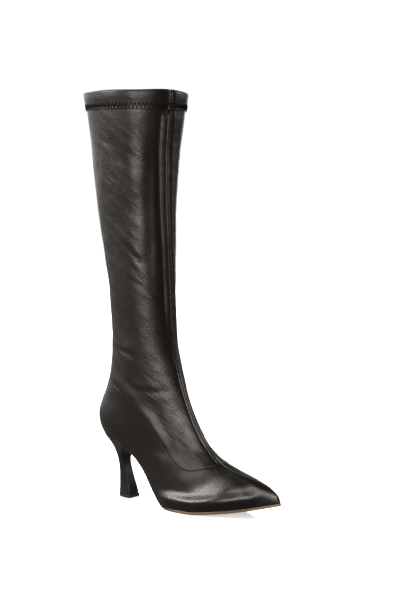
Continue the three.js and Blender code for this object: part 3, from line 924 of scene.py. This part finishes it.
def makeSeamStitches():
    row = seamEdgeRows.index(seamStitch["fromEdge"])
    places, normals = shaftSheet["place"][row], shaftSheet["normal"][row]
    count = int(lengthsAlong(places)[-1] / seamStitch["step"])
    at, out = evenPlaces(places, normals, count)
    spans = [(a, between(a, b, seamStitch["share"]), n) for a, b, n in zip(at[:-1], at[1:], out)]
    stitches("footSeamStitches", spans, seamStitch["radius"], seamStitch["sink"])


makeSeamStitches()
print("stitches made")

sole = {
    "proud": 0.5, "from": 8.9, "margin": 6, "rows": 190, "across": 14, "nose": 1.0, "noseRows": 8,
    "levels": (1, 0.93, 0.8, 0.5, 0.2, 0.07, 0), "insets": (0.3, 0.06, 0, 0, 0.02, 0.12, 0.4),
    "stations": np.linspace(14, toeRow, 420), "turns": np.linspace(0.02, 0.5, 340),
}


# The sole's outline at one level of its thickness: places down a side from the breast to the toe,
# where side is 1 for the outer one and -1 for the inner one.
def soleSide(level, side):
    ring = lastPoint(sole["stations"][:, None], sole["turns"][None, :] * side)
    above = ring[..., 2] - soleHeight(ring[..., 0], level)
    cut = np.maximum((above < 0).argmax(axis=1), 1)
    every = np.arange(len(ring))
    before, after = above[every, cut - 1], above[every, cut]
    share = np.clip(before / (before - after), 0, 1)[:, None]
    line = between(ring[every, cut - 1], ring[every, cut], share)
    line = line[line[:, 0] > sole["from"] - sole["margin"]]
    tangent = unit(np.gradient(line[:, :2], axis=0))
    line[:, :2] += np.stack((tangent[:, 1], -tangent[:, 0]), axis=-1) * side * sole["proud"]
    passed = lengthsAlong(line)
    begin = np.interp(sole["from"], line[:, 0], passed)
    return valuesAlong(np.linspace(begin, passed[-1], sole["rows"]), passed, line)


def makeSole():
    noseShare = np.sin(np.linspace(0, np.pi / 2, sole["noseRows"] + 1))[1:]
    noseWidth = np.sqrt(np.maximum(1 - noseShare**2, 0))[:, None]
    outer, inner = [], []
    for level, inset in zip(sole["levels"], sole["insets"]):
        sides = soleSide(level, 1), soleSide(level, -1)
        for line, other, lines in ((*sides, outer), (*sides[::-1], inner)):
            line = line + unit((line + other) / 2 - line) * inset
            end = (line[-1] + other[-1]) / 2
            tip = end + (line[-1] - end) * noseWidth
            tip[:, 0] += sole["nose"] * noseShare
            line = np.concatenate((line, tip))
            line[:, 2] = soleHeight(line[:, 0], level)
            lines.append(line)

    def bridge(a, b, level):
        lines = [between(a, b, k / sole["across"]) for k in range(1, sole["across"])]
        for line in lines:
            line[:, 2] = soleHeight(line[:, 0], level)
        return lines

    ring = outer + bridge(outer[-1], inner[-1], 0) + inner[::-1] + bridge(inner[0], outer[0], 1)
    ring.append(ring[0])
    obj = gridObject("soleUnit", np.stack(ring, axis=1))
    capEnds(obj)
    obj.data.materials.append(soleFinish)
    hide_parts("outsole")
    return obj


# Closes a tube's open ends.
def capEnds(obj):
    bm = bmesh.new()
    bm.from_mesh(obj.data)
    bmesh.ops.holes_fill(bm, edges=[e for e in bm.edges if e.is_boundary])
    bmesh.ops.recalc_face_normals(bm, faces=bm.faces)
    bm.to_mesh(obj.data)
    bm.free()


soleUnit = makeSole()
print("sole: %d faces" % len(soleUnit.data.polygons))

# Heel sections: height at the heel's middle, its rise towards the back, back, front, half width.
heelSections = np.array([
    (0, 0, -13.4, 8.6, 9.4), (6, 0, -13.2, 7.6, 8.5), (14, 0, -13.1, 5.9, 7.4),
    (27, 0, -13.2, 2, 6.4), (39, 0, -14.1, -1.8, 6.7), (47, 0.02, -15.6, -3, 8.4),
    (53, 0.06, -17.6, -1.2, 11.6), (58, 0.11, -20.3, 2.8, 15.6), (62.4, 0.16, -23.8, 5.8, 19.6),
    (66, 0.2, -27.6, 7.9, 23.2), (69.4, 0.22, -31, 8.6, 25.9), (73, 0.24, -33.6, 8.6, 27.6),
])
heel = {"squareness": 2.05, "behind": 44, "breast": 10, "rows": 64, "bevel": 0.55, "lift": 3.4,
        "liftRows": 4, "liftBevel": 0.45, "sharpAngle": 40, "bevelSteps": 3,
        "fineRows": 400}


# A point of the heel's outline, at a place down its sections and a share round: the curve behind
# from 0 to 1, then the flat breast from 1 to 2.
def heelPoint(place, share):
    z, slope, back, front, half = np.moveaxis(throughRows(heelSections, place), -1, 0)
    angle = np.pi * np.clip(share, 0, 1)
    exponent = 2 / heel["squareness"]
    curveX = between(front, back, np.abs(np.sin(angle)) ** exponent)
    curveY = -half * np.sign(np.cos(angle)) * np.abs(np.cos(angle)) ** exponent
    flat = np.clip(share - 1, 0, 1)
    x = np.where(share > 1, front, curveX)
    y = np.where(share > 1, between(half, -half, flat), curveY)
    return np.stack((x, y, z - slope * x), axis=-1)


heelShares = np.concatenate((np.linspace(0, 1, heel["behind"] + 1),
                             np.linspace(1, 2, heel["breast"] + 1)[1:]))


def makeHeel():
    fine = np.linspace(0, len(heelSections) - 1, heel["fineRows"])
    sample = heelPoint(fine[:, None], heelShares[None, :])
    above = sample[..., 2] - soleHeight(sample[..., 0], 1)
    low = heel["lift"] + gap
    columns = []
    for k, share in enumerate(heelShares):
        start = np.interp(low, sample[:, k, 2], fine)
        end = np.interp(0, above[:, k], fine)
        columns.append(heelPoint(np.linspace(start, end, heel["rows"]), np.full(heel["rows"], share)))
    obj = gridObject("heelCover", np.stack(columns, axis=1))
    capEnds(obj)
    bevelEdges(obj, heel["bevel"])
    obj.data.materials.append(heelLeather)
    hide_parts("heel")


def bevelEdges(obj, width):
    bevel = obj.modifiers.new("edges", "BEVEL")
    bevel.width = width * mm
    bevel.segments = heel["bevelSteps"]
    bevel.limit_method = "ANGLE"
    bevel.angle_limit = math.radians(heel["sharpAngle"])


def makeTopLift():
    outline = heelPoint(np.zeros(len(heelShares)), heelShares)
    places = np.stack([outline + (0, 0, h) for h in np.linspace(0, heel["lift"], heel["liftRows"])])
    obj = gridObject("heelTopPiece", places)
    capEnds(obj)
    bevelEdges(obj, heel["liftBevel"])
    obj.data.materials.append(rubber)
    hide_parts("top_lift")


makeHeel()
makeTopLift()
print("heel made")

# The insole board keeps its shape, with the lining's cloth on it.
for node in bpy.data.objects:
    if node.name.startswith("insole"):
        node.data.materials.clear()
        node.data.materials.append(lining)

# The floor that the eye sees glows more over the metres of glowRun; floorSeen is how the boot sees
# it, part of it in shade.
studio = {
    "floor": (0.9, 0.9, 0.9), "floorRoughness": 0.1, "floorGlow": (0.56, 1.0), "floorSize": 40,
    "glowRun": (0.35, 1.6), "floorSeen": (0.17, 0.167, 0.163), "wall": 1.05, "back": 1.9,
    "front": 0.025, "backRun": (0.3, 0.98), "backLight": (1.0, 0.98, 0.95), "away": 0.85,
    "left": 0.53, "lightColour": (1, 0.955, 0.9),
}


# One shader for what the boot sees and another for what the eye sees.
def eyeMix(tree, around, seen):
    path = addNode(tree, "ShaderNodeLightPath", {}).outputs["Is Camera Ray"]
    return addNode(tree, "ShaderNodeMixShader", {"Fac": path, 1: around, 2: seen}).outputs[0]


def makeFloor():
    bm = bmesh.new()
    bmesh.ops.create_grid(bm, x_segments=1, y_segments=1, size=studio["floorSize"] / 2)
    mesh = bpy.data.meshes.new("studioFloor")
    bm.to_mesh(mesh)
    bm.free()
    floor = bpy.data.objects.new("studioFloor", mesh)
    bpy.context.collection.objects.link(floor)
    material, tree, shader = newMaterial("paleFloor")
    away = addNode(tree, "ShaderNodeVectorMath", {0: objectPlaces(tree)}, operation="LENGTH")
    feed(tree, shader, {
        "Base Color": (*studio["floor"], 1), "Roughness": studio["floorRoughness"],
        "Emission Color": (1, 1, 1, 1),
        "Emission Strength": rangeNode(tree, away.outputs["Value"], *studio["glowRun"],
                                       *studio["floorGlow"]),
    })
    shaded = addNode(tree, "ShaderNodeBsdfDiffuse", {"Color": (*studio["floorSeen"], 1)})
    mixed = eyeMix(tree, shaded.outputs[0], shader.outputs[0])
    feed(tree, tree.nodes["Material Output"], {"Surface": mixed})
    mesh.materials.append(material)


# The eye stands outside the boot, turned towards the toe.
eye = {"azimuth": 39.5, "distance": 1250, "height": 285, "turn": 3.894, "down": 2.4, "lens": 63.37,
       "sensor": 36, "sees": 100}


def makeCamera():
    azimuth = math.radians(eye["azimuth"])
    lateral = Vector((math.cos(azimuth), math.sin(azimuth), 0))
    away = Vector((-math.sin(azimuth), math.cos(azimuth), 0))
    turn, down = math.radians(eye["turn"]), math.radians(eye["down"])
    level = lateral * math.sin(turn) + away * math.cos(turn)
    forward = level * math.cos(down) - Vector((0, 0, math.sin(down)))
    place = -away * eye["distance"] + Vector((0, 0, eye["height"]))
    data = bpy.data.cameras.new("eye")
    data.lens = eye["lens"]
    data.sensor_width = eye["sensor"]
    data.clip_end = eye["sees"]
    camera = bpy.data.objects.new("eye", data)
    camera.location = place * mm + Vector(origin)
    camera.rotation_euler = forward.to_track_quat("-Z", "Y").to_euler()
    bpy.context.collection.objects.link(camera)
    bpy.context.scene.camera = camera
    return away


def makeWorld(away):
    world = bpy.data.worlds.new("studio")
    bpy.context.scene.world = world
    world.use_nodes = True
    tree = world.node_tree
    tree.nodes.clear()
    left = Vector((-away.y, away.x, 0))
    toward = (away * studio["away"] + left * studio["left"]).normalized()
    around = addNode(tree, "ShaderNodeTexCoord", {}).outputs["Generated"]
    facing = addNode(tree, "ShaderNodeVectorMath", {0: around, 1: toward},
                     operation="DOT_PRODUCT").outputs["Value"]
    soft = addNode(tree, "ShaderNodeBackground", {
        "Color": (*studio["backLight"], 1),
        "Strength": rangeNode(tree, facing, *studio["backRun"], studio["front"], studio["back"]),
    })
    plain = addNode(tree, "ShaderNodeBackground",
                    {"Color": (1, 1, 1, 1), "Strength": studio["wall"]})
    mixed = eyeMix(tree, soft.outputs[0], plain.outputs[0])
    addNode(tree, "ShaderNodeOutputWorld", {"Surface": mixed})


# Soft boxes, by direction from the boot, distance and size in metres, and power.
lights = [
    ("keySoftbox", (-0.53, -0.64, 0.5), 1.9, (0.85, 0.85), 38),
    ("sideCard", (0.41, -0.91, 0.26), 2.0, (0.8, 0.8), 25),
    ("rimSoftbox", (-0.5, 0.86, 0.2), 2.2, (1.0, 0.8), 12),
    ("innerSoftbox", (0.5, 0.8, 0.45), 2.0, (0.9, 0.9), 13),
]


def makeLights():
    centre = Vector((cadBox[0] + cadBox[1]) / 2)
    for name, toward, distance, size, power in lights:
        data = bpy.data.lights.new(name, "AREA")
        data.shape = "RECTANGLE"
        data.size, data.size_y = size
        data.energy = power
        data.color = studio["lightColour"]
        lamp = bpy.data.objects.new(name, data)
        toward = Vector(toward).normalized()
        lamp.location = centre + toward * distance
        lamp.rotation_euler = toward.to_track_quat("Z", "Y").to_euler()
        lamp.visible_camera = False
        bpy.context.collection.objects.link(lamp)


makeFloor()
makeWorld(away=makeCamera())
makeLights()
bpy.context.scene.view_settings.view_transform = "Standard"
bpy.context.scene.view_settings.look = "None"
print("studio made")
